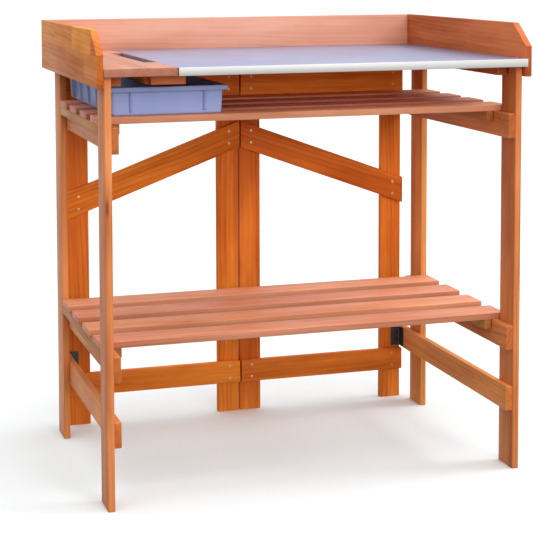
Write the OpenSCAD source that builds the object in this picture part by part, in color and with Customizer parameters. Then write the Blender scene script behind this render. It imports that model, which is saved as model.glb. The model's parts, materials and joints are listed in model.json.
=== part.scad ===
// Potting bench with a folding slatted frame, a lift-off worktop and a seed tray.
// Millimetres, +Z up. The origin is on the ground under the middle of the bench's box.
// +X is to the right of a person who stands at the front, +Y points to the back.

/* [Frame] */
// Width over the outer faces of the legs
frame_w = 860; // [780:10:1000]
// Depth from the front of the front legs to the back of the rear legs
frame_d = 522; // [500:2:600]
// Thickness of every frame board
board_t = 14; // [12:1:16]
// Width of the rails, posts and braces
board_w = 50; // [44:1:54]
// Width of the legs, front to back
leg_d = 62; // [50:1:70]
// Height of the top edge of the upper side rails
upper_rail_top = 733; // [715:1:735]
// Height of the top edge of the lower shelf's rails
shelf_rail_top = 298; // [260:1:420]
// Height of the top edge of the bottom side rails
bottom_rail_top = 172; // [172:1:190]

/* [Back frame] */
// Distance from the rear legs to the back posts
back_reach = 30; // [28:1:40]
// Gap between the two halves of the back frame
centre_gap = 3; // [2:0.5:5]
// Height of the top edge of the back's top rails
back_top_rail_top = 792; // [790:1:800]
// Width of the two back top rails
back_top_rail_w = 57; // [50:1:57]
// Height of the top edge of the back's low rails
back_low_rail_top = 120; // [90:1:120]
// Height of a brace's lower edge at its outer end
brace_low_z = 471; // [320:1:500]
// Height of a brace's lower edge at the middle of the back
brace_high_z = 625; // [560:1:640]

/* [Worktop] */
// Height of the work surface above the ground
work_h = 845; // [835:1:880]
// Thickness of the worktop boards
top_t = 16; // [14:1:20]
// Reach of the zinc's front edge past the front legs
nose = 21; // [16:1:30]
// Distance from the left legs' outer face to the zinc
slot_board_reach = 140; // [135:1:200]
// Width of the sweeping slot beside the zinc
slot_w = 28; // [20:1:40]
// Distance from the front legs' front face to the slot
slot_front = 142; // [120:1:180]
// Length of the sweeping slot
slot_len = 327; // [250:1:340]
// Thickness of the zinc sheet
zinc_t = 0.8; // [0.6:0.1:1.2]
// Height of the upstands above the work surface
upstand_rise = 70; // [50:1:100]
// Thickness of the upstands
upstand_t = 14; // [12:1:16]
// Height of the cleats under the worktop
cleat_h = 20; // [18:1:22]

/* [Shelves] */
// Thickness of the shelf slats
slat_t = 13; // [11:1:14]
// Gap between neighbouring slats
slat_gap = 40; // [30:1:50]
// Height of the battens under the slats
batten_h = 20; // [16:1:24]

/* [Tray] */
// Width of the tray over its rim
tray_w = 243; // [200:1:244]
// Depth of the tray over its rim
tray_d = 454; // [380:1:458]
// Height of the tray
tray_h = 56; // [40:1:58]
// Thickness of the tray's walls
tray_wall = 2.4; // [2:0.1:3]

/* [Hidden] */
$fn = 32;

// Places across the bench, on its left half
x_leg = -frame_w / 2;
x_rail = x_leg + board_t;
x_in = x_rail + board_t;
x_centre = -centre_gap / 2;

// Places from front to back
rear_play = 14;
y_leg = -(nose + frame_d + back_reach + board_t + rear_play + upstand_t) / 2 + nose;
y_rear_leg = y_leg + frame_d - leg_d;
y_post = y_leg + frame_d + back_reach;
y_upstand = y_post + board_t + rear_play;
y_zinc = y_leg - nose;

// Heights
leg_h = work_h - top_t;
upstand_z = work_h - 37;
upstand_top = work_h + upstand_rise;

// Screws: head radius, head depth, shank radius, play of the hole, length in the frame
head_r = 2.9;
head_h = 2;
shank_r = 1.6;
hole_play = 0.05;
screw_len = 25;
screw_offset = 14;

// Hinges: leaf width, height, thickness, knuckle radius, pin radius and screw sizes
leaf_w = 19.5;
leaf_h = 44;
leaf_t = 1.6;
knuckle_r = 3.2;
pin_r = 1.6;
pin_play = 0.05;
knuckle_gap = 0.3;
knuckles = 5;
knuckle_off = 3.6;
hinge_head_r = 2.6;
hinge_head_h = 1.2;
hinge_shank_r = 1.3;
hinge_screw_len = 11;
hinge_screw_in = 12;
hinge_screw_z = 14;

wood = "peru";
lit_wood = "sandybrown";

// Puts a left-hand part on its side: -1 is left, 1 is right
module on_side(side) {
    if (side > 0) mirror([1, 0, 0]) children();
    else children();
}

// Turns +Z to a direction along an axis: "x", "-x", "y", "z"
module aim(place, way) {
    turn = way == "x" ? [0, 90, 0] : way == "-x" ? [0, -90, 0] : way == "y" ? [-90, 0, 0] : [0, 0, 0];
    translate(place) rotate(turn) children();
}

// A countersunk screw that points along +Z from its head's face
module screw(len, r_head = head_r, h_head = head_h, r = shank_r) {
    cylinder(h = h_head, r1 = r_head, r2 = r);
    cylinder(h = len, r = r);
}

// The hole of a screw, open at the face that it enters
module screw_hole(len, r_head = head_r, h_head = head_h, r = shank_r) {
    screw(len + hole_play, r_head + hole_play, h_head, r + hole_play);
}

// ---- Places of the frame's screws, on the left half ----

leg_centres = [y_leg + leg_d / 2, y_rear_leg + leg_d / 2];
side_rail_tops = [upper_rail_top, shelf_rail_top, bottom_rail_top];
side_screws = [
    for (y = leg_centres, top = side_rail_tops, d = [-1, 1])
        [x_in, y, top - board_w / 2 + d * screw_offset]
];

post_centres = [x_in + board_w / 2, x_centre - board_w / 2];
brace_run = x_centre - x_in;
brace_angle = atan2(brace_high_z - brace_low_z, brace_run);
brace_rise = board_w / cos(brace_angle);
function brace_mid(x) = brace_low_z + (x - x_in) * tan(brace_angle) + brace_rise / 2;
back_screws = [
    for (x = post_centres, z = [back_top_rail_top - board_w / 2, brace_mid(x), back_low_rail_top - board_w / 2],
         d = [-1, 1])
        [x, y_post - board_t, z + d * screw_offset]
];

module side_screw_holes() {
    for (p = side_screws) aim(p, "-x") screw_hole(screw_len);
}

module back_screw_holes() {
    for (p = back_screws) aim(p, "y") screw_hole(screw_len);
}

// ---- Hinges ----

// The two corner hinges of a side frame stand against its upper and bottom rails
corner_hinge_zs = [upper_rail_top - board_w / 2, bottom_rail_top - board_w / 2];
centre_hinge_zs = [back_top_rail_top - board_w / 2, back_low_rail_top - board_w / 2];
corner_axis = [x_in + knuckle_off, y_post - knuckle_off];
centre_axis = [0, y_post + board_t + knuckle_off];

// The knuckles of one leaf: every second one, from the first or from the second
module knuckle_row(first) {
    pitch = leaf_h / knuckles;
    for (i = [first : 2 : knuckles - 1])
        translate([0, 0, -leaf_h / 2 + i * pitch + knuckle_gap / 2])
            cylinder(h = pitch - knuckle_gap, r = knuckle_r);
}

// A leaf that lies in the XZ plane at Y = back, reaches to +X, and whose pin is at the origin
module hinge_leaf(first) {
    pitch = leaf_h / knuckles;
    difference() {
        union() {
            translate([knuckle_r + knuckle_gap, knuckle_off - leaf_t, -leaf_h / 2])
                cube([leaf_w - knuckle_r - knuckle_gap, leaf_t, leaf_h]);
            for (i = [first : 2 : knuckles - 1])
                translate([0, knuckle_off - leaf_t, -leaf_h / 2 + i * pitch + knuckle_gap / 2])
                    cube([knuckle_r + 1, leaf_t, pitch - knuckle_gap]);
            knuckle_row(first);
        }
        translate([0, 0, -leaf_h / 2 - 1]) cylinder(h = leaf_h + 2, r = pin_r + pin_play);
        for (d = [-1, 1])
            translate([hinge_screw_in, knuckle_off - leaf_t, d * hinge_screw_z])
                rotate([-90, 0, 0])
                    screw_hole(hinge_screw_len, hinge_head_r, hinge_head_h, hinge_shank_r);
    }
}

// The screws of such a leaf, or their holes in the wood behind it
module leaf_screws(holes = false) {
    for (d = [-1, 1])
        translate([hinge_screw_in, knuckle_off - leaf_t, d * hinge_screw_z])
            rotate([-90, 0, 0])
                if (holes) screw_hole(hinge_screw_len, hinge_head_r, hinge_head_h, hinge_shank_r);
                else screw(hinge_screw_len, hinge_head_r, hinge_head_h, hinge_shank_r);
}

// Places a leaf's drawing on the left rail's inner face, reaching forward
module at_corner_rail(z) {
    translate([corner_axis.x, corner_axis.y, z]) mirror([0, 1, 0]) rotate([0, 0, 90]) children();
}

// Places it on the left outer post's front face, reaching to the middle
module at_corner_post(z) {
    translate([corner_axis.x, corner_axis.y, z]) children();
}

// Places it on the rear face of a centre post; side is -1 or 1
module at_centre(z, side) {
    on_side(side) translate([centre_axis.x, centre_axis.y, z]) rotate([0, 0, 180]) children();
}

// ---- Side frames ----

module leg(side, y) {
    color(lit_wood) on_side(side) difference() {
        translate([x_leg, y, 0]) cube([board_t, leg_d, leg_h]);
        side_screw_holes();
    }
}

// A side rail; one with a hinge reaches back to the posts
module side_rail(side, top, hinged) {
    end_y = hinged ? y_post - 1 : y_leg + frame_d;
    color(wood) on_side(side) difference() {
        translate([x_rail, y_leg + 1, top - board_w]) cube([board_t, end_y - y_leg - 1, board_w]);
        side_screw_holes();
        for (z = corner_hinge_zs) at_corner_rail(z) leaf_screws(holes = true);
    }
}

// ---- Back frame ----

module back_post(side, x, hinge_at) {
    color(wood) on_side(side) difference() {
        translate([x, y_post, 0]) cube([board_w, board_t, leg_h]);
        back_screw_holes();
        if (hinge_at == "corner") for (z = corner_hinge_zs) at_corner_post(z) leaf_screws(holes = true);
        else for (z = centre_hinge_zs) at_centre(z, -1) leaf_screws(holes = true);
    }
}

module back_rail(side, top, width) {
    color(wood) on_side(side) difference() {
        translate([x_in, y_post - board_t, top - width]) cube([brace_run, board_t, width]);
        back_screw_holes();
    }
}

module brace(side) {
    rise = brace_high_z - brace_low_z;
    color(wood) on_side(side) difference() {
        translate([x_in, y_post, brace_low_z]) rotate([90, 0, 0]) linear_extrude(board_t)
            polygon([[0, 0], [brace_run, rise], [brace_run, rise + brace_rise], [0, brace_rise]]);
        back_screw_holes();
    }
}

module frame_screws() {
    color("gainsboro") for (side = [-1, 1]) on_side(side) {
        for (p = side_screws) aim(p, "-x") screw(screw_len);
        for (p = back_screws) aim(p, "y") screw(screw_len);
    }
}

module corner_hinge_rail_leaves() {
    color("dimgray") for (side = [-1, 1], z = corner_hinge_zs) on_side(side) at_corner_rail(z) hinge_leaf(0);
}

module corner_hinge_post_leaves() {
    color("dimgray") for (side = [-1, 1], z = corner_hinge_zs) on_side(side) at_corner_post(z) hinge_leaf(1);
}

module corner_hinge_pins() {
    color("dimgray") for (side = [-1, 1], z = corner_hinge_zs) on_side(side)
        translate([corner_axis.x, corner_axis.y, z]) hinge_pin();
}

module centre_hinge_left_leaves() {
    color("dimgray") for (z = centre_hinge_zs) at_centre(z, -1) hinge_leaf(0);
}

module centre_hinge_right_leaves() {
    color("dimgray") for (z = centre_hinge_zs) at_centre(z, 1) hinge_leaf(1);
}

module centre_hinge_pins() {
    color("dimgray") for (z = centre_hinge_zs) translate([centre_axis.x, centre_axis.y, z]) hinge_pin();
}

// A pin with a flat head that rests on the top knuckle
module hinge_pin() {
    translate([0, 0, -leaf_h / 2]) cylinder(h = leaf_h, r = pin_r);
    translate([0, 0, leaf_h / 2]) cylinder(h = 1, r = knuckle_r - 0.6);
}

module hinge_screws() {
    color("gainsboro") {
        for (side = [-1, 1], z = corner_hinge_zs) on_side(side) {
            at_corner_rail(z) leaf_screws();
            at_corner_post(z) leaf_screws();
        }
        for (side = [-1, 1], z = centre_hinge_zs) at_centre(z, side) leaf_screws();
    }
}

// ---- Worktop ----

top_play = 2;
x_upstand = x_leg - top_play - upstand_t;
x_board = x_leg - top_play;
x_zinc = x_leg + slot_board_reach;
board_front = y_leg - 14;
upstand_front = y_leg - 10;
slot_y = y_leg + slot_front;

cleat_w = 20;
cleat_front = y_leg + 30;
cleat_len = frame_d - 18;
cleat_z = work_h - top_t - cleat_h;
cleat_xs = [x_rail + 5, x_zinc - slot_w - cleat_w, x_zinc + 7, -x_rail - 5 - cleat_w];
// The two cleats beside the slot run between the two battens
batten_back = 4;
cleat_insets = [0, cleat_w + batten_back, cleat_w + batten_back, 0];
top_screw_ys = [cleat_front + 40, cleat_front + cleat_len / 2, cleat_front + cleat_len - 40];
top_screw_len = 30;
top_screws_at = [
    for (i = [0 : 3], y = top_screw_ys) [cleat_xs[i] + cleat_w / 2, y, cleat_z]
];

module top_screw_holes() {
    for (p = top_screws_at) aim(p, "z") screw_hole(top_screw_len);
}

module slot_board() {
    color("rosybrown") difference() {
        translate([x_board, board_front, work_h - top_t])
            cube([x_zinc - zinc_t - x_board, y_upstand - board_front, top_t]);
        translate([x_zinc - slot_w, slot_y, work_h - top_t - 1]) cube([slot_w, slot_len, top_t + 2]);
        top_screw_holes();
    }
}

// The board under the zinc
module zinc_core_board() {
    color(wood) difference() {
        translate([x_zinc, y_zinc + zinc_t, work_h - top_t])
            cube([-x_board - x_zinc, y_upstand - y_zinc - zinc_t, top_t - zinc_t]);
        top_screw_holes();
    }
}

// The sheet is folded down over the board's front and left edges
module zinc_sheet() {
    color("lavender") difference() {
        translate([x_zinc - zinc_t, y_zinc, work_h - top_t])
            cube([-x_board - x_zinc + zinc_t, y_upstand - y_zinc, top_t]);
        translate([x_zinc, y_zinc + zinc_t, work_h - top_t - 1])
            cube([-x_board - x_zinc + 1, y_upstand - y_zinc, top_t + 1 - zinc_t]);
    }
}

module side_upstand(side) {
    cut_y = 56;
    cut_z = 45;
    length = y_upstand + upstand_t - upstand_front;
    rise = upstand_top - upstand_z;
    color(wood) on_side(side) translate([x_upstand, upstand_front, upstand_z])
        rotate([90, 0, 90]) linear_extrude(upstand_t)
            polygon([[0, 0], [length, 0], [length, rise], [cut_y, rise], [0, rise - cut_z]]);
}

module back_upstand() {
    color(lit_wood) translate([x_board, y_upstand, upstand_z])
        cube([-2 * x_board, upstand_t, upstand_top - upstand_z]);
}

module cleat(i) {
    color(wood) difference() {
        translate([cleat_xs[i], cleat_front + cleat_insets[i], cleat_z])
            cube([cleat_w, cleat_len - 2 * cleat_insets[i], cleat_h]);
        top_screw_holes();
    }
}

// A batten across one end of the slot, under the joint of the two boards
module slot_batten(y) {
    color(wood) translate([x_zinc - slot_w - 14, y, cleat_z]) cube([slot_w + cleat_w + 21, cleat_w, cleat_h]);
}

module top_screws() {
    color("gainsboro") for (p = top_screws_at) aim(p, "z") screw(top_screw_len);
}

// ---- Shelves ----

slats = 4;
shelf_play = 2.5;
shelf_front = y_leg + leg_d + shelf_play;
shelf_d = frame_d - 2 * leg_d - 2 * shelf_play;
slat_w = (shelf_d - (slats - 1) * slat_gap) / slats;
strip_t = board_t - 2;
strip_h = batten_h - 2;
batten_x = x_in + 2;
batten_inset = 2;
batten_t = board_t;
shelf_screw_len = batten_h + slat_t - 4;

function slat_y(i) = shelf_front + i * (slat_w + slat_gap);

// Screws rise through the battens into the slats, one in each slat
function shelf_screws_at(top) = [
    for (side = [-1, 1], i = [0 : slats - 1])
        [side * (batten_x + batten_t / 2), slat_y(i) + slat_w / 2, top - batten_h]
];

module shelf_slat(top, i) {
    color("darksalmon") difference() {
        translate([x_leg, slat_y(i), top]) cube([frame_w, slat_w, slat_t]);
        for (p = shelf_screws_at(top)) aim(p, "z") screw_hole(shelf_screw_len);
    }
}

// The batten lies just inside the rail
module shelf_batten(top, side) {
    color(wood) difference() {
        on_side(side) translate([batten_x, shelf_front + batten_inset, top - batten_h])
            cube([batten_t, shelf_d - 2 * batten_inset, batten_h]);
        for (p = shelf_screws_at(top)) aim(p, "z") screw_hole(shelf_screw_len);
    }
}

// The strip lies outside the rail, flush with the ends of the slats
module shelf_strip(top, side) {
    color(wood) on_side(side) translate([x_leg, shelf_front, top - strip_h])
        cube([strip_t, shelf_d, strip_h]);
}

module shelf_screws(top) {
    color("gainsboro") for (p = shelf_screws_at(top)) aim(p, "z") screw(shelf_screw_len);
}

// ---- Tray ----

tray_x = x_leg + 22.5;
tray_y = y_leg + 74;
tray_z = upper_rail_top + slat_t;
tray_taper = 2;
tray_corner = 11;
rim_out = 10;
rim_h = 9;

// A block with round corners, drawn in by inset, whose walls lean in by taper towards its bottom
module tray_block(inset, bottom, height, taper) {
    r = tray_corner - inset / 2;
    hull() for (x = [0, 1], y = [0, 1])
        translate([
            tray_x + inset + r + x * (tray_w - 2 * (inset + r)),
            tray_y + inset + r + y * (tray_d - 2 * (inset + r)),
            tray_z + bottom
        ]) cylinder(h = height, r1 = r - taper, r2 = r);
}

module tray() {
    color("cornflowerblue") difference() {
        union() {
            tray_block(rim_out, 0, tray_h - tray_wall / 2, tray_taper);
            difference() {
                tray_block(0, tray_h - rim_h, rim_h, 0);
                tray_block(tray_wall, tray_h - rim_h - 1, rim_h + 1 - tray_wall, 0);
            }
        }
        tray_block(rim_out + tray_wall, tray_wall, tray_h, tray_taper);
    }
}

leg(-1, y_leg);  // left_front_leg
leg(-1, y_rear_leg);  // left_rear_leg
leg(1, y_leg);  // right_front_leg
leg(1, y_rear_leg);  // right_rear_leg
side_rail(-1, upper_rail_top, true);  // left_upper_rail
side_rail(-1, shelf_rail_top, false);  // left_shelf_rail
side_rail(-1, bottom_rail_top, true);  // left_bottom_rail
side_rail(1, upper_rail_top, true);  // right_upper_rail
side_rail(1, shelf_rail_top, false);  // right_shelf_rail
side_rail(1, bottom_rail_top, true);  // right_bottom_rail
back_post(-1, x_in, "corner");  // left_outer_post
back_post(-1, x_centre - board_w, "centre");  // left_centre_post
back_post(1, x_centre - board_w, "centre");  // right_centre_post
back_post(1, x_in, "corner");  // right_outer_post
back_rail(-1, back_top_rail_top, back_top_rail_w);  // left_back_top_rail
back_rail(1, back_top_rail_top, back_top_rail_w);  // right_back_top_rail
brace(-1);  // left_brace
brace(1);  // right_brace
back_rail(-1, back_low_rail_top, board_w);  // left_back_low_rail
back_rail(1, back_low_rail_top, board_w);  // right_back_low_rail
frame_screws();
corner_hinge_rail_leaves();
corner_hinge_post_leaves();
corner_hinge_pins();
centre_hinge_left_leaves();
centre_hinge_right_leaves();
centre_hinge_pins();
hinge_screws();
slot_board();
zinc_core_board();
zinc_sheet();
side_upstand(-1);  // left_upstand
side_upstand(1);  // right_upstand
back_upstand();
cleat(0);  // left_cleat
cleat(1);  // slot_left_cleat
cleat(2);  // slot_right_cleat
cleat(3);  // right_cleat
slot_batten(cleat_front + batten_back);  // slot_front_batten
slot_batten(cleat_front + cleat_len - cleat_w - batten_back);  // slot_rear_batten
top_screws();
shelf_slat(upper_rail_top, 0);  // upper_slat_1
shelf_slat(upper_rail_top, 1);  // upper_slat_2
shelf_slat(upper_rail_top, 2);  // upper_slat_3
shelf_slat(upper_rail_top, 3);  // upper_slat_4
shelf_batten(upper_rail_top, -1);  // upper_left_batten
shelf_batten(upper_rail_top, 1);  // upper_right_batten
shelf_strip(upper_rail_top, -1);  // upper_left_strip
shelf_strip(upper_rail_top, 1);  // upper_right_strip
shelf_screws(upper_rail_top);  // upper_shelf_screws
shelf_slat(shelf_rail_top, 0);  // lower_slat_1
shelf_slat(shelf_rail_top, 1);  // lower_slat_2
shelf_slat(shelf_rail_top, 2);  // lower_slat_3
shelf_slat(shelf_rail_top, 3);  // lower_slat_4
shelf_batten(shelf_rail_top, -1);  // lower_left_batten
shelf_batten(shelf_rail_top, 1);  // lower_right_batten
shelf_strip(shelf_rail_top, -1);  // lower_left_strip
shelf_strip(shelf_rail_top, 1);  // lower_right_strip
shelf_screws(shelf_rail_top);  // lower_shelf_screws
tray();
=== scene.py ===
"""Looks of the potting bench: stained boards, a zinc sheet, dark hinges and a plastic tray."""

import json
import math
import random

import bmesh
import bpy
from mathutils import Matrix, Vector


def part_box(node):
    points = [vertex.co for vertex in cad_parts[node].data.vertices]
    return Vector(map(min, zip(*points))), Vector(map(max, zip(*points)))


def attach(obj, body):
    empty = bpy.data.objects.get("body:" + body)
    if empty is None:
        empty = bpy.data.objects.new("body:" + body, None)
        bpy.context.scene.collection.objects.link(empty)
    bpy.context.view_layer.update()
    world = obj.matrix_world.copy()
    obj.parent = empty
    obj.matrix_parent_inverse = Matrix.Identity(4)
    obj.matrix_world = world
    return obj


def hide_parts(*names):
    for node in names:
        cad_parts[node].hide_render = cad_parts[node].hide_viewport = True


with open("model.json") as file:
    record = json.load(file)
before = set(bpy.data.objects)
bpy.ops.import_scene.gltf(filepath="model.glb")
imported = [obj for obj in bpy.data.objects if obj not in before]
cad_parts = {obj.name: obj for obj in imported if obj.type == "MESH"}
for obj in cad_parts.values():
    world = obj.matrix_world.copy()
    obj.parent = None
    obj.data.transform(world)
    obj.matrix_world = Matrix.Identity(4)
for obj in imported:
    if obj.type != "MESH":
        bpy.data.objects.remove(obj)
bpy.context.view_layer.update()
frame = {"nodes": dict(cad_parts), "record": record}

MM = 0.001
X, Y, Z = 0, 1, 2
record = frame["record"]
rng = random.Random(7)

body_of = {
    node: body for body, nodes in record["behaviour"]["bodies"].items() for node in nodes
}
slot_of = {part["node"]: part["material_slot"] for part in record["subparts"]}


def box(node):
    """The CAD node's lowest and highest corners, as vectors."""
    low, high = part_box(node)
    return Vector(low), Vector(high)


def cad_points(node):
    """The CAD node's own vertices."""
    return [Vector(v.co) for v in frame["nodes"][node].data.vertices]


# ---------------------------------------------------------------- shader helpers


class Graph:
    """A short way to write a material's nodes."""

    def __init__(self, tree):
        self.tree = tree

    def put(self, socket, value):
        """Sets a socket to a value, or links it to another node's output."""
        if isinstance(value, bpy.types.NodeSocket):
            self.tree.links.new(value, socket)
        else:
            socket.default_value = value

    def math(self, operation, a, b=0.0, clamp=False):
        node = self.tree.nodes.new("ShaderNodeMath")
        node.operation = operation
        node.use_clamp = clamp
        self.put(node.inputs[0], a)
        self.put(node.inputs[1], b)
        return node.outputs[0]

    def vector(self, operation, a, b):
        node = self.tree.nodes.new("ShaderNodeVectorMath")
        node.operation = operation
        self.put(node.inputs[0], a)
        self.put(node.inputs[1], b)
        return node.outputs[0]

    def scale(self, vector, factor):
        node = self.tree.nodes.new("ShaderNodeVectorMath")
        node.operation = "SCALE"
        self.put(node.inputs[0], vector)
        node.inputs["Scale"].default_value = factor
        return node.outputs[0]

    def affine(self, value, factor, offset):
        """value * factor + offset."""
        return self.math("ADD", self.math("MULTIPLY", value, factor), offset)

    def mix(self, factor, a, b, blend="MIX"):
        """Mixes two colours."""
        node = self.tree.nodes.new("ShaderNodeMix")
        node.data_type = "RGBA"
        node.blend_type = blend
        node.clamp_factor = True
        self.put(node.inputs[0], factor)
        self.put(node.inputs[6], a)
        self.put(node.inputs[7], b)
        return node.outputs[2]

    def noise(self, where, scale, detail=2.0, rough=0.5):
        node = self.tree.nodes.new("ShaderNodeTexNoise")
        self.put(node.inputs["Vector"], where)
        self.put(node.inputs["Scale"], scale)
        self.put(node.inputs["Detail"], detail)
        self.put(node.inputs["Roughness"], rough)
        return node.outputs["Fac"]

    def noise_colour(self, where, scale):
        node = self.tree.nodes.new("ShaderNodeTexNoise")
        self.put(node.inputs["Vector"], where)
        node.inputs["Scale"].default_value = scale
        return node.outputs["Color"]

    def place(self):
        """The object's own coordinates, in metres."""
        return self.tree.nodes.new("ShaderNodeTexCoord").outputs["Object"]

    def bump(self, height, strength, distance):
        """A normal that is tilted by a height."""
        node = self.tree.nodes.new("ShaderNodeBump")
        node.inputs["Strength"].default_value = strength
        node.inputs["Distance"].default_value = distance
        self.put(node.inputs["Height"], height)
        return node.outputs[0]

    def span(self, value, low, high, to_low=0.0, to_high=1.0):
        """Maps a value's range to another, clamped, with a smooth step."""
        node = self.tree.nodes.new("ShaderNodeMapRange")
        node.interpolation_type = "SMOOTHSTEP"
        for socket, number in zip(node.inputs, (value, low, high, to_low, to_high)):
            self.put(socket, number)
        return node.outputs[0]

    def attribute(self, name, output="Fac"):
        node = self.tree.nodes.new("ShaderNodeAttribute")
        node.attribute_name = name
        return node.outputs[output]


def new_material(name):
    """An empty material with its Principled shader: (material, graph, shader)."""
    made = bpy.data.materials.new(name)
    made.use_nodes = True
    shader = made.node_tree.nodes["Principled BSDF"]
    return made, Graph(made.node_tree), shader


def rgba(red, green, blue):
    """A colour given as it looks on a screen, 0 to 255, in the linear units of the shader."""
    linear = [
        c / 255 / 12.92 if c / 255 <= 0.04045 else ((c / 255 + 0.055) / 1.055) ** 2.4
        for c in (red, green, blue)
    ]
    return (*linear, 1.0)


# ---------------------------------------------------------------- materials

RING_PITCH = 8.0 * MM

# The blocks of a glued-up board: how tall a strip and how long a block is, the half width of a
# finger, how far a finger reaches for its width, and how far each strip's joints are shifted
STRIP_TALL, BLOCK_LONG = 0.053, 0.19
FINGER_HALF, FINGER_REACH = 0.0035, 2.2
STRIP_SHIFT = 0.37


def wood_material(name, light, dark, jointed=False, gloss=0.25, painted_edge_shade=0.0):
    """Stained softwood. Its grain follows the "grain" attribute: x along the board, in metres.

    A jointed board is glued up from strips of short blocks that meet in finger joints.
    The long faces marked by the edge attribute, a slat's front and back faces, lose the share of
    their brightness given by the last argument: painted shade, standing in for the shade in the gaps
    between slats.
    """
    made, g, shader = new_material(name)
    where = g.attribute("grain", "Vector")
    tone = g.attribute("tone")
    end = g.attribute("end")
    if jointed:
        block, hue = block_numbers(g)
        shift = g.scale(hue, 0.06)
        where = g.vector("ADD", where, shift)
        tone = g.math("ADD", tone, g.affine(block, 2.4, -1.2))

    wander = g.noise(g.vector("MULTIPLY", where, (2.2, 26.0, 26.0)), 1.0, 2.0)
    rings = g.tree.nodes.new("ShaderNodeTexWave")
    rings.wave_type = "RINGS"
    rings.rings_direction = "X"
    rings.wave_profile = "SAW"
    waver = g.scale(g.noise_colour(where, 2.2), 0.022)
    g.put(rings.inputs["Vector"], g.vector("ADD", where, waver))
    rings.inputs["Scale"].default_value = 2 * math.pi / (20 * RING_PITCH)
    rings.inputs["Distortion"].default_value = 1.2
    rings.inputs["Detail"].default_value = 3.0
    rings.inputs["Detail Scale"].default_value = 0.4
    late = g.span(rings.outputs["Fac"], 0.45, 1.0)
    fibre = g.noise(g.vector("MULTIPLY", where, (11.0, 800.0, 800.0)), 1.0, 3.0, 0.6)
    streak = g.noise(g.vector("MULTIPLY", where, (1.6, 60.0, 60.0)), 1.0, 4.0, 0.6)
    cloud = g.noise(g.vector("MULTIPLY", where, (4.0, 14.0, 14.0)), 1.0, 3.0, 0.55)

    knots = g.tree.nodes.new("ShaderNodeTexVoronoi")
    g.put(knots.inputs["Vector"], g.vector("MULTIPLY", where, (4.5, 22.0, 22.0)))
    knots.inputs["Scale"].default_value = 1.0
    lot = g.math("FRACT", g.math("MULTIPLY", knots.outputs["Color"], 7.3))
    chosen = g.math("GREATER_THAN", lot, 0.9)
    knot = g.math("MULTIPLY", g.span(knots.outputs["Distance"], 0.13, 0.05), chosen)
    halo = g.math("MULTIPLY", g.span(knots.outputs["Distance"], 0.45, 0.08), chosen)

    depth = g.math("MULTIPLY", late, g.span(wander, 0.30, 0.70, 0.04, 0.36))
    depth = g.math("ADD", depth, g.span(streak, 0.30, 0.72, 0.0, 0.42))
    depth = g.math("ADD", depth, g.span(cloud, 0.30, 0.70, -0.10, 0.40))
    depth = g.math("ADD", depth, g.affine(fibre, 0.4, -0.2))
    depth = g.math("ADD", depth, g.math("MULTIPLY", halo, 0.35))
    depth = g.math("MULTIPLY", depth, 0.85, clamp=True)
    colour = g.mix(depth, light, dark)
    colour = g.mix(g.math("MULTIPLY", knot, 0.8), colour, rgba(104, 50, 22))
    bright = g.tree.nodes.new("ShaderNodeHueSaturation")
    g.put(bright.inputs["Color"], colour)
    # Painted shade: the slats' front and back faces are darkened, standing in for the shade in the
    # gaps between them.
    painted_gap_shade = g.math("MULTIPLY", g.attribute("edge"), painted_edge_shade)
    value = g.math("SUBTRACT", g.affine(tone, 0.13, 1.0), painted_gap_shade)
    g.put(bright.inputs["Value"], value)
    g.put(bright.inputs["Hue"], g.affine(tone, 0.006, 0.5))
    toned = bright.outputs[0]
    end_grain = g.mix(1.0, toned, rgba(205, 172, 150), "MULTIPLY")
    ended = g.mix(g.math("MULTIPLY", end, 0.8), toned, end_grain)
    g.put(shader.inputs["Base Color"], ended)
    g.put(shader.inputs["Roughness"], g.affine(depth, 0.14, 0.42))
    shader.inputs["Specular IOR Level"].default_value = gloss

    grooves = g.math("ADD", g.math("MULTIPLY", late, -0.4), fibre)
    grooves = g.math("SUBTRACT", grooves, g.math("MULTIPLY", end, fibre))
    g.put(shader.inputs["Normal"], g.bump(grooves, 0.35, 0.25 * MM))
    return made


def block_numbers(g):
    """A random number and a random colour for each block of a glued-up board."""
    part = g.tree.nodes.new("ShaderNodeSeparateXYZ")
    g.put(part.inputs[0], g.attribute("flat", "Vector"))
    strip = g.math("FLOOR", g.math("DIVIDE", part.outputs[1], STRIP_TALL))
    fingers = g.math("PINGPONG", part.outputs[1], FINGER_HALF)
    along = g.math("ADD", part.outputs[0], g.math("MULTIPLY", fingers, FINGER_REACH))
    shift = g.math("MULTIPLY", strip, STRIP_SHIFT)
    along = g.math("ADD", g.math("DIVIDE", along, BLOCK_LONG), shift)
    key = g.tree.nodes.new("ShaderNodeCombineXYZ")
    g.put(key.inputs[0], g.math("FLOOR", along))
    g.put(key.inputs[1], strip)
    white = g.tree.nodes.new("ShaderNodeTexWhiteNoise")
    g.put(white.inputs["Vector"], key.outputs[0])
    return white.outputs["Value"], white.outputs["Color"]


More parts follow.
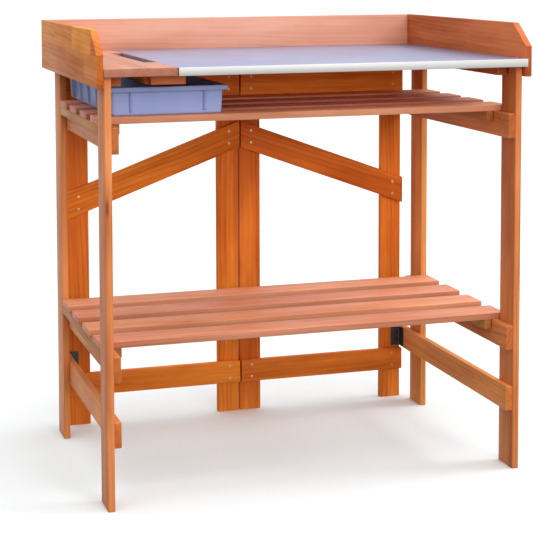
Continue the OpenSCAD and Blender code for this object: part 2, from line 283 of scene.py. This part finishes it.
def zinc_material(name, first, second, metallic, rough):
    """Dull zinc sheet: faint clouds, fine rolling lines and a few light scuffs."""
    made, g, shader = new_material(name)
    place = g.place()
    cloud = g.noise(place, 4.0, 4.0, 0.6)
    lines = g.noise(g.vector("MULTIPLY", place, (6.0, 1500.0, 60.0)), 1.0, 2.0)
    scuff = g.noise(g.vector("MULTIPLY", place, (40.0, 300.0, 40.0)), 1.0, 3.0, 0.7)
    colour = g.mix(g.span(cloud, 0.3, 0.7), first, second)
    colour = g.mix(g.span(scuff, 0.68, 0.82, 0.0, 0.3), colour, rgba(225, 224, 230))
    g.put(shader.inputs["Base Color"], colour)
    shader.inputs["Metallic"].default_value = metallic
    streaks = g.math("MULTIPLY", lines, 0.06)
    g.put(shader.inputs["Roughness"], g.math("ADD", g.affine(cloud, 0.12, rough - 0.09), streaks))
    waves = g.math("MULTIPLY", g.noise(place, 7.0, 1.0), 5.0)
    height = g.math("ADD", waves, g.math("MULTIPLY", lines, 0.3))
    g.put(shader.inputs["Normal"], g.bump(height, 0.2, 0.12 * MM))
    return made


def plain_material(name, colour, second, rough, metallic=0.0, gloss=0.5):
    """Plastic, paint or plated steel with a fine uneven surface between two colours."""
    made, g, shader = new_material(name)
    place = g.place()
    broad = g.noise(place, 14.0, 4.0, 0.6)
    fine = g.noise(place, 400.0, 2.0)
    g.put(shader.inputs["Base Color"], g.mix(g.span(broad, 0.3, 0.7), colour, second))
    g.put(shader.inputs["Roughness"], g.math("ADD", g.math("MULTIPLY", broad, 0.14), rough - 0.07))
    shader.inputs["Metallic"].default_value = metallic
    shader.inputs["Specular IOR Level"].default_value = gloss
    g.put(shader.inputs["Normal"], g.bump(fine, 0.3, 0.05 * MM))
    return made


FRAME_WOOD = wood_material("frame_wood", rgba(248, 142, 52), rgba(176, 74, 16), gloss=0.07)
LEG_WOOD = wood_material("leg_wood", rgba(242, 158, 90), rgba(178, 94, 44), gloss=0.12)
SHELF_WOOD = wood_material("shelf_wood", rgba(206, 142, 84), rgba(150, 88, 44), gloss=0.07)
# The slats' pinker colours are partly their own stain and partly painted sheen, the pink glint of a
# glossy top under a white sky.
SLAT_WOOD = wood_material("slat_wood", rgba(240, 160, 124), rgba(200, 116, 80), painted_edge_shade=0.36)
TOP_WOOD = wood_material("worktop_wood", rgba(222, 130, 78), rgba(164, 80, 38), gloss=0.07)
SLOT_WOOD = wood_material("slot_board_wood", rgba(210, 154, 130), rgba(172, 110, 86))
# The back upstand's pinker colours are partly its own stain and partly painted sheen.
BACK_WOOD = wood_material("back_wood", rgba(232, 170, 142), rgba(204, 134, 104))
PANEL_WOOD = wood_material(
    "panel_wood", rgba(238, 150, 74), rgba(180, 94, 34), jointed=True, gloss=0.05
)
ZINC = zinc_material("zinc_sheet", rgba(162, 168, 204), rgba(172, 178, 212), 0.5, 0.38)
# A whiter, non-metallic copy of the zinc for the faces that face the front: painted highlight where
# the front lamp falls on the fold.
ZINC_LIT_FRONT = zinc_material("zinc_front_painted_highlight", rgba(224, 222, 218), rgba(230, 228, 224), 0.0, 0.6)
TRAY_PLASTIC = plain_material(
    "tray_plastic", rgba(156, 172, 220), rgba(148, 164, 214), 0.42, gloss=0.15
)
HINGE_PAINT = plain_material("hinge_paint", rgba(40, 42, 40), rgba(30, 32, 31), 0.45)
SCREW_STEEL = plain_material("screw_steel", rgba(200, 182, 148), rgba(172, 152, 118), 0.42, 0.9)


# ---------------------------------------------------------------- boards


# How far the edges are sanded: of most boards, of the slats and slot board, and under the zinc
EASED, EASED_LITTLE, EASED_HIDDEN = 1.6 * MM, 1.2 * MM, 0.5 * MM


def basis(along):
    """Three unit vectors: along the board, then across its wider and its thinner side."""
    along = Vector(along).normalized()
    side = Vector((0, 0, 1)) if abs(along.z) < 0.9 else Vector((0, 1, 0))
    across = (side - along * side.dot(along)).normalized()
    return along, across, along.cross(across)


def grow(mesh, along, centre):
    """Writes the attributes that the wood material reads."""
    along, across, through = basis(along)
    pith = Vector((
        rng.uniform(-3, 3), rng.uniform(0.02, 0.06), rng.choice((-1, 1)) * rng.uniform(0.03, 0.07)
    ))
    lean = Matrix.Rotation(math.radians(rng.uniform(-2.0, 2.0)), 3, "Y")
    lean = lean @ Matrix.Rotation(math.radians(rng.uniform(-1.5, 1.5)), 3, "Z")
    kinds = (("grain", "FLOAT_VECTOR"), ("flat", "FLOAT_VECTOR"), ("tone", "FLOAT"))
    for name, kind in kinds:
        mesh.attributes.new(name, kind, "POINT")
    mesh.attributes.new("end", "FLOAT", "FACE")
    mesh.attributes.new("edge", "FLOAT", "FACE")
    names = ("grain", "flat", "tone", "end", "edge")
    grain, flat, tone, end, edge = (mesh.attributes[name].data for name in names)
    shade = rng.uniform(-1, 1)
    for i, vertex in enumerate(mesh.vertices):
        offset = vertex.co - centre
        local = Vector((offset.dot(along), offset.dot(across), offset.dot(through)))
        flat[i].vector = local + Vector((1, 1, 1))
        grain[i].vector = lean @ local + pith
        tone[i].value = shade
    for i, face in enumerate(mesh.polygons):
        end[i].value = 1.0 if abs(face.normal.dot(along)) > 0.8 else 0.0
        # edge marks the long faces that the wood material can darken with painted shade.
        edge[i].value = 1.0 if abs(face.normal.dot(through)) > 0.8 else 0.0


def finish_piece(name, bm, material, node, smooth=35):
    """Turns a bmesh into an object that rides on the node's body and stands for the node."""
    bmesh.ops.recalc_face_normals(bm, faces=bm.faces)
    mesh = bpy.data.meshes.new(name)
    bm.to_mesh(mesh)
    bm.free()
    mesh.materials.append(material)
    mesh.shade_smooth()
    mesh.set_sharp_from_angle(angle=math.radians(smooth))
    made = bpy.data.objects.new(name, mesh)
    bpy.context.scene.collection.objects.link(made)
    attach(made, body_of[node])
    return made


def prism(outline, axis, low, high):
    """A bmesh of a 2-D outline, pushed along an axis.

    The outline holds the other two coordinates, in order.
    """
    bm = bmesh.new()
    others = [a for a in (X, Y, Z) if a != axis]
    rings = []
    for level in (low, high):
        ring = []
        for point in outline:
            place = [0.0, 0.0, 0.0]
            place[axis] = level
            place[others[0]], place[others[1]] = point
            ring.append(bm.verts.new(place))
        rings.append(ring)
    bm.faces.new(rings[0])
    bm.faces.new(rings[1])
    count = len(outline)
    for i in range(count):
        j = (i + 1) % count
        bm.faces.new((rings[0][i], rings[0][j], rings[1][j], rings[1][i]))
    bmesh.ops.recalc_face_normals(bm, faces=bm.faces)
    return bm


def ease(bm, width):
    """Rounds the edges of a board as sandpaper does."""
    bmesh.ops.bevel(
        bm, geom=list(bm.edges), offset=width, segments=3, profile=0.5, affect="EDGES",
        clamp_overlap=True,
    )


def make_board(node, bm, material, along=None, eased=EASED):
    """Finishes a board and lets it stand for its CAD node."""
    low, high = box(node)
    if along is None:
        sides = high - low
        along = [0, 0, 0]
        along[max((X, Y, Z), key=lambda a: sides[a])] = 1
    ease(bm, eased)
    made = finish_piece("looks_" + node, bm, material, node)
    grow(made.data, along, (low + high) / 2)
    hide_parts(node)
    return made


def rectangle(low, high):
    return [(low[X], low[Y]), (high[X], low[Y]), (high[X], high[Y]), (low[X], high[Y])]


def plain_board(node, material, eased=EASED):
    """A straight board that fills its CAD node's box."""
    low, high = box(node)
    return make_board(node, prism(rectangle(low, high), Z, low.z, high.z), material, eased=eased)


def brace_board(node, rising):
    """A slanting board whose ends are cut upright. rising is 1 if it rises to the right."""
    low, high = box(node)
    rail_low, rail_high = box("left_back_top_rail")
    wide = rail_high.z - rail_low.z
    run = high.x - low.x
    upright = wide
    for _ in range(8):
        upright = wide * math.hypot(1, (high.z - low.z - upright) / run)
    ends = [(low.x, high.x), (high.x, low.x)][rising < 0]
    outline = [
        (ends[0], low.z),
        (ends[1], high.z - upright),
        (ends[1], high.z),
        (ends[0], low.z + upright),
    ]
    slope = (high.z - low.z - upright) * rising
    make_board(node, prism(outline, Y, low.y, high.y), FRAME_WOOD, along=(run, 0, slope))


def upstand_board(node):
    """A side of the top with its front upper corner cut off."""
    low, high = box(node)
    points = cad_points(node)
    hair = 0.1 * MM
    nose = max(p.z for p in points if p.y < low.y + hair)
    cut = min(p.y for p in points if p.z > high.z - hair)
    outline = [(low.y, low.z), (high.y, low.z), (high.y, high.z), (cut, high.z), (low.y, nose)]
    material = PANEL_WOOD if node.startswith("left") else TOP_WOOD
    make_board(node, prism(outline, X, low.x, high.x), material)


def slotted_board(node):
    """The board beside the zinc, with the slot cut into its right edge."""
    low, high = box(node)
    hair = 0.5 * MM
    inner = [
        p for p in cad_points(node)
        if p.z > high.z - hair
        and low.x + hair < p.x < high.x - hair
        and low.y + hair < p.y < high.y - hair
    ]
    slot_x = min(p.x for p in inner)
    front, back = min(p.y for p in inner), max(p.y for p in inner)
    outline = [
        (low.x, low.y), (high.x, low.y), (high.x, front), (slot_x, front),
        (slot_x, back), (high.x, back), (high.x, high.y), (low.x, high.y),
    ]
    make_board(node, prism(outline, Z, low.z, high.z), SLOT_WOOD, eased=EASED_LITTLE)


def zinc_sheet(node):
    """The sheet, folded down over the front and the left edge of its board."""
    low, high = box(node)
    bm = prism(rectangle(low, high), Z, low.z, high.z)
    gone = [
        f for f in bm.faces
        if f.normal.z < -0.5 or f.normal.y > 0.5 or f.normal.x > 0.5
    ]
    bmesh.ops.delete(bm, geom=gone, context="FACES")
    folds = [e for e in bm.edges if len(e.link_faces) == 2]
    bmesh.ops.bevel(bm, geom=folds, offset=1.0 * MM, segments=4, profile=0.5, affect="EDGES")
    made = finish_piece("looks_" + node, bm, ZINC, node, smooth=60)
    made.data.materials.append(ZINC_LIT_FRONT)
    # The faces that face the front take the whiter copy of the zinc: painted highlight.
    for face in made.data.polygons:
        face.material_index = 1 if face.normal.y < -0.7 else 0
    skin = made.modifiers.new("thickness", "SOLIDIFY")
    skin.thickness = 0.8 * MM
    skin.offset = -1
    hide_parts(node)


SIDE_RAILS = [
    side + rail
    for side in ("left_", "right_")
    for rail in ("upper_rail", "shelf_rail", "bottom_rail")
]

for node in slot_of:
    if node in ("tray", "zinc_sheet") or "hinge" in node or "screws" in node:
        continue
    if "brace" in node:
        brace_board(node, 1 if node.startswith("left") else -1)
    elif node in ("left_upstand", "right_upstand"):
        upstand_board(node)
    elif node == "slot_board":
        slotted_board(node)
    elif node == "zinc_core_board":
        plain_board(node, TOP_WOOD, eased=EASED_HIDDEN)
    elif node == "back_upstand":
        plain_board(node, BACK_WOOD)
    elif "slat" in node:
        plain_board(node, SLAT_WOOD, eased=EASED_LITTLE)
    elif slot_of[node] == "shelf_wood":
        plain_board(node, SHELF_WOOD)
    elif slot_of[node] == "worktop_wood":
        plain_board(node, TOP_WOOD)
    elif "leg" in node or node in SIDE_RAILS:
        plain_board(node, LEG_WOOD)
    else:
        plain_board(node, FRAME_WOOD)

zinc_sheet("zinc_sheet")


# ---------------------------------------------------------------- screws and hinges


def solids_of(node):
    """The vertices of each separate solid of a CAD node, in the order of the node's own vertices."""
    bm = bmesh.new()
    bm.from_mesh(frame["nodes"][node].data)
    bmesh.ops.remove_doubles(bm, verts=bm.verts, dist=0.001 * MM)
    bm.verts.index_update()
    seen = set()
    solids = []
    for first in bm.verts:
        if first.index in seen:
            continue
        seen.add(first.index)
        stack = [first]
        found = []
        while stack:
            vertex = stack.pop()
            found.append(vertex.co.copy())
            for edge in vertex.link_edges:
                other = edge.other_vert(vertex)
                if other.index not in seen:
                    seen.add(other.index)
                    stack.append(other)
        solids.append(found)
    bm.free()
    return solids


def screw_place(points):
    """A screw's head: its centre, its radius and the direction it faces, from the CAD's solid."""
    low = Vector([min(p[a] for p in points) for a in (X, Y, Z)])
    high = Vector([max(p[a] for p in points) for a in (X, Y, Z)])
    middle = (low + high) / 2
    axis = max((X, Y, Z), key=lambda a: high[a] - low[a])

    def reach(p):
        across = [a for a in (X, Y, Z) if a != axis]
        return math.dist([p[a] for a in across], [middle[a] for a in across])

    widest = max(points, key=reach)
    facing = Vector((0, 0, 0))
    facing[axis] = 1 if widest[axis] > middle[axis] else -1
    centre = middle.copy()
    centre[axis] = widest[axis]
    return centre, reach(widest), facing


def add_head(bm, centre, radius, facing):
    """A countersunk head that stands a hair proud, with a cross recess."""
    spin = Matrix.Rotation(rng.uniform(0, math.pi), 3, "Z")
    turn = facing.to_track_quat("Z", "Y").to_matrix() @ spin
    # Each ring's share of the radius and its height in mm, from the bottom of the recess outwards
    rings = (
        (0.14, -0.9), (0.30, -0.75), (0.52, -0.55),
        (0.60, 0.22), (0.86, 0.18), (1.0, 0.02), (1.0, -0.6),
    )
    count = 32
    loops = []
    for share, height in rings:
        loop = []
        for i in range(count):
            angle = 2 * math.pi * i / count
            in_cross = abs(math.sin(2 * angle)) < 0.55 or share < 0.2
            deep = height if in_cross or share > 0.55 else 0.22
            out = share * radius
            place = Vector((math.cos(angle) * out, math.sin(angle) * out, deep * MM))
            loop.append(bm.verts.new(centre + turn @ place))
        loops.append(loop)
    bm.faces.new(loops[0])
    for inner, outer in zip(loops, loops[1:]):
        for i in range(count):
            j = (i + 1) % count
            bm.faces.new((inner[i], inner[j], outer[j], outer[i]))


for node in slot_of:
    if "screws" not in node:
        continue
    bm = bmesh.new()
    for points in solids_of(node):
        add_head(bm, *screw_place(points))
    material = HINGE_PAINT if node == "hinge_screws" else SCREW_STEEL
    heads = finish_piece("looks_" + node, bm, material, node, smooth=30)
    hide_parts(node)

for node in slot_of:
    if "hinge" in node and "screws" not in node:
        hinge = frame["nodes"][node]
        hinge.data.materials.clear()
        hinge.data.materials.append(HINGE_PAINT)


# ---------------------------------------------------------------- tray


def rounded(half_x, half_y, radius, counts):
    """Points round a rectangle with round corners: place, outward normal, side, distance along it.

    The counts are the steps along the sides in x and in y, so that rings of different sizes match
    point for point.
    """
    points = []
    arc = 8
    sides = (
        ((1, 0), (0, -1), half_x - radius, half_y), ((0, 1), (1, 0), half_y - radius, half_x),
        ((-1, 0), (0, 1), half_x - radius, half_y), ((0, -1), (-1, 0), half_y - radius, half_x),
    )
    for side, (way, out, half, away) in enumerate(sides):
        way, out = Vector(way), Vector(out)
        count = counts[side % 2]
        for i in range(count + 1):
            along = -half + 2 * half * i / count
            points.append((way * along + out * away, out, side, along))
        for i in range(1, arc):
            angle = math.pi / 2 * i / arc
            normal = out * math.cos(angle) + way * math.sin(angle)
            corner = way * half + out * (away - radius)
            points.append((corner + normal * radius, normal, side, None))
    return points


def tray_piece(node):
    """A moulded tray: drawn-in walls with ribs, a flange and a lip that is turned down."""
    low, high = box(node)
    middle = (low + high) / 2
    half_x, half_y = (high.x - low.x) / 2, (high.y - low.y) / 2
    tall = high.z - low.z
    wall, flange, lip, taper = 2.2 * MM, 10 * MM, 9.0 * MM, 2 * MM
    step = 1.6 * MM
    end_ribs = (-74 * MM, 74 * MM)
    side_ribs = tuple(82 * MM * i for i in (-2, -1, 0, 1, 2))
    ribs = (end_ribs, side_ribs, end_ribs, side_ribs)
    rib_wide, rib_high = 6.0 * MM, 5.0 * MM
    clear = 0.15 * MM  # the base stays this far above the slats it slides over
    flat = 30 * MM  # the first and the last ring lie this far in on the floor

    def outer(height):
        """How far the outer wall stands in from the rim at a height above the base."""
        return flange + taper * (1 - height / (tall - lip))

    # Rings from the inner floor, up over the rim and down to the base, each with its inset from the
    # rim, its height above the base, and how much of the ribs' height it carries
    base = outer(0)
    inner_round, outer_round = 4 * MM, 5 * MM
    profile = [(base + flat, wall, 0), (base + wall + 5 * MM, wall, 0)]
    for i in range(5):
        turn = math.pi / 2 * i / 4
        inset = base + wall + inner_round * (1 - math.sin(turn))
        profile.append((inset, wall + inner_round * (1 - math.cos(turn)), 0))
    profile += [
        (flange + wall, tall - 3 * MM, 0),
        (flange + wall - 1 * MM, tall - 0.8 * MM, 0),
        (flange + wall - 2.2 * MM, tall, 0),
        (2.2 * MM, tall, 0),
        (0.8 * MM, tall - 0.5 * MM, 0),
        (0.0, tall - 2 * MM, 0),
        (0.0, tall - lip + 1 * MM, 0),
        (0.6 * MM, tall - lip, 0),
        (1.6 * MM, tall - lip, 0),
        (2.0 * MM, tall - lip + 1 * MM, 0),
        (2.2 * MM, tall - 2.6 * MM, 0),
        (3.0 * MM, tall - 2.3 * MM, 0),
        (flange - 1.2 * MM, tall - 2.3 * MM, 0),
        (flange - 0.2 * MM, tall - 3.4 * MM, 1),
        (outer(tall - lip), tall - lip, 1),
        (outer(11 * MM), 11 * MM, 1),
        (outer(8.5 * MM), 8.5 * MM, 0.85),
        (outer(7.2 * MM), 7.2 * MM, 0.5),
        (outer(6.6 * MM), 6.6 * MM, 0),
    ]
    for i in range(6):
        turn = math.pi / 2 * i / 5
        inset = outer(outer_round) + outer_round * (1 - math.cos(turn))
        profile.append((inset, outer_round * (1 - math.sin(turn)), 0))
    profile.append((base + flat, 0.0, 0))

    bm = bmesh.new()
    corner, least_corner = 11 * MM, 2 * MM
    counts = [round(2 * (half - corner) / step) for half in (half_x, half_y)]
    loops = []
    for inset, height, ribbed in profile:
        loop = []
        radius = max(least_corner, corner - inset / 2)
        ring_points = rounded(half_x - inset, half_y - inset, radius, counts)
        for place, normal, side, along in ring_points:
            out = 0.0
            if ribbed and along is not None:
                near = min(abs(along - r) for r in ribs[side])
                out = ribbed * rib_high * math.sqrt(max(0.0, 1 - (2 * near / rib_wide) ** 2))
            spot = middle.xy + place + normal * out
            loop.append(bm.verts.new((spot.x, spot.y, low.z + max(height, clear))))
        loops.append(loop)
    count = len(ring_points)
    for first, second in zip(loops, loops[1:]):
        for i in range(count):
            j = (i + 1) % count
            bm.faces.new((first[i], first[j], second[j], second[i]))
    bm.faces.new(loops[0])
    bm.faces.new(loops[-1])
    made = finish_piece("looks_" + node, bm, TRAY_PLASTIC, node, smooth=40)
    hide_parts(node)


tray_piece("tray")


# ---------------------------------------------------------------- studio


def add_floor():
    """A pale, matt floor that throws no light back on the bench."""
    mesh = bpy.data.meshes.new("floor")
    reach = 40.0
    corners = [(-reach, -reach, 0), (reach, -reach, 0), (reach, reach, 0), (-reach, reach, 0)]
    mesh.from_pydata(corners, [], [(0, 1, 2, 3)])
    floor = bpy.data.objects.new("floor", mesh)
    bpy.context.scene.collection.objects.link(floor)
    made, g, shader = new_material("floor_paint")
    place = g.place()
    colour = g.mix(g.noise(place, 0.6, 2.0), (0.86, 0.91, 0.92, 1), (0.88, 0.93, 0.94, 1))
    g.put(shader.inputs["Base Color"], colour)
    shader.inputs["Roughness"].default_value = 0.9
    shader.inputs["Specular IOR Level"].default_value = 0.1
    mesh.materials.append(made)
    floor.visible_diffuse = False


def add_light(name, place, target, wide, power):
    """A round, soft lamp that points at a target."""
    lamp = bpy.data.lights.new(name, "AREA")
    lamp.shape = "DISK"
    lamp.size = wide
    lamp.energy = power
    made = bpy.data.objects.new(name, lamp)
    made.location = place
    made.rotation_euler = (Vector(target) - Vector(place)).to_track_quat("-Z", "Y").to_euler()
    bpy.context.scene.collection.objects.link(made)


# Yaw, pitch and roll in degrees, the place in metres and the lens in mm. The shift keeps uprights
# nearly parallel, as they are in a view that looks almost level
CAMERA_TURN = (16.16, 4.31, -0.29)
CAMERA_PLACE = (-1.0, -2.9975, 1.04)
CAMERA_LENS = 100.85
CAMERA_SHIFT = (0.096, -0.359)


def add_camera():
    """A standing person's view from the front left."""
    yaw, pitch, roll = (math.radians(angle) for angle in CAMERA_TURN)
    level = Vector((math.sin(yaw), math.cos(yaw), 0))
    forward = level * math.cos(pitch) - Vector((0, 0, math.sin(pitch)))
    right = Vector((math.cos(yaw), -math.sin(yaw), 0))
    up = right.cross(forward)
    across = right * math.cos(roll) + up * math.sin(roll)
    above = up * math.cos(roll) - right * math.sin(roll)
    lens = bpy.data.cameras.new("camera")
    lens.sensor_width = 36
    lens.lens = CAMERA_LENS
    lens.shift_x, lens.shift_y = CAMERA_SHIFT
    made = bpy.data.objects.new("camera", lens)
    turn = Matrix((across, above, -forward)).transposed().to_4x4()
    made.matrix_world = Matrix.Translation(CAMERA_PLACE) @ turn
    bpy.context.scene.collection.objects.link(made)
    bpy.context.scene.camera = made


def add_sky():
    """A white sky that is brightest overhead and dim below the horizon."""
    world = bpy.data.worlds.new("studio")
    world.use_nodes = True
    g = Graph(world.node_tree)
    part = g.tree.nodes.new("ShaderNodeSeparateXYZ")
    g.put(part.inputs[0], g.tree.nodes.new("ShaderNodeTexCoord").outputs["Generated"])
    ramp = g.tree.nodes.new("ShaderNodeValToRGB")
    g.put(ramp.inputs[0], g.affine(part.outputs[2], 0.5, 0.5))
    stops = ramp.color_ramp.elements
    stops[0].color = (SKY_BELOW, SKY_BELOW, SKY_BELOW, 1)
    stops[1].color = (1, 1, 1, 1)
    level = stops.new(0.5)
    level.color = (SKY_LEVEL, SKY_LEVEL, SKY_LEVEL, 1)
    back = g.tree.nodes["Background"]
    g.put(back.inputs["Color"], ramp.outputs[0])
    back.inputs["Strength"].default_value = SKY_TOP
    bpy.context.scene.world = world


def add_sun(toward, strength, spread):
    """A soft sun that shines from a direction."""
    lamp = bpy.data.lights.new("sun", "SUN")
    lamp.energy = strength
    lamp.angle = math.radians(spread)
    made = bpy.data.objects.new("sun", lamp)
    made.rotation_euler = Vector(toward).to_track_quat("Z", "Y").to_euler()
    bpy.context.scene.collection.objects.link(made)


SKY_TOP, SKY_LEVEL, SKY_BELOW = 1.4, 0.32, 0.12
SUN_TOWARD, SUN_STRENGTH, SUN_SPREAD = (1.0, -0.1, 0.8), 1.0, 24
FRONT_PLACE, FRONT_WIDE, FRONT_POWER = (0.6, -5.2, 2.4), 3.6, 165
BENCH_CENTRE = (0, 0, 0.45)

add_floor()
add_sky()
bpy.context.scene.view_settings.view_transform = "Standard"
add_sun(SUN_TOWARD, SUN_STRENGTH, SUN_SPREAD)
add_light("front", FRONT_PLACE, BENCH_CENTRE, FRONT_WIDE, FRONT_POWER)
add_camera()
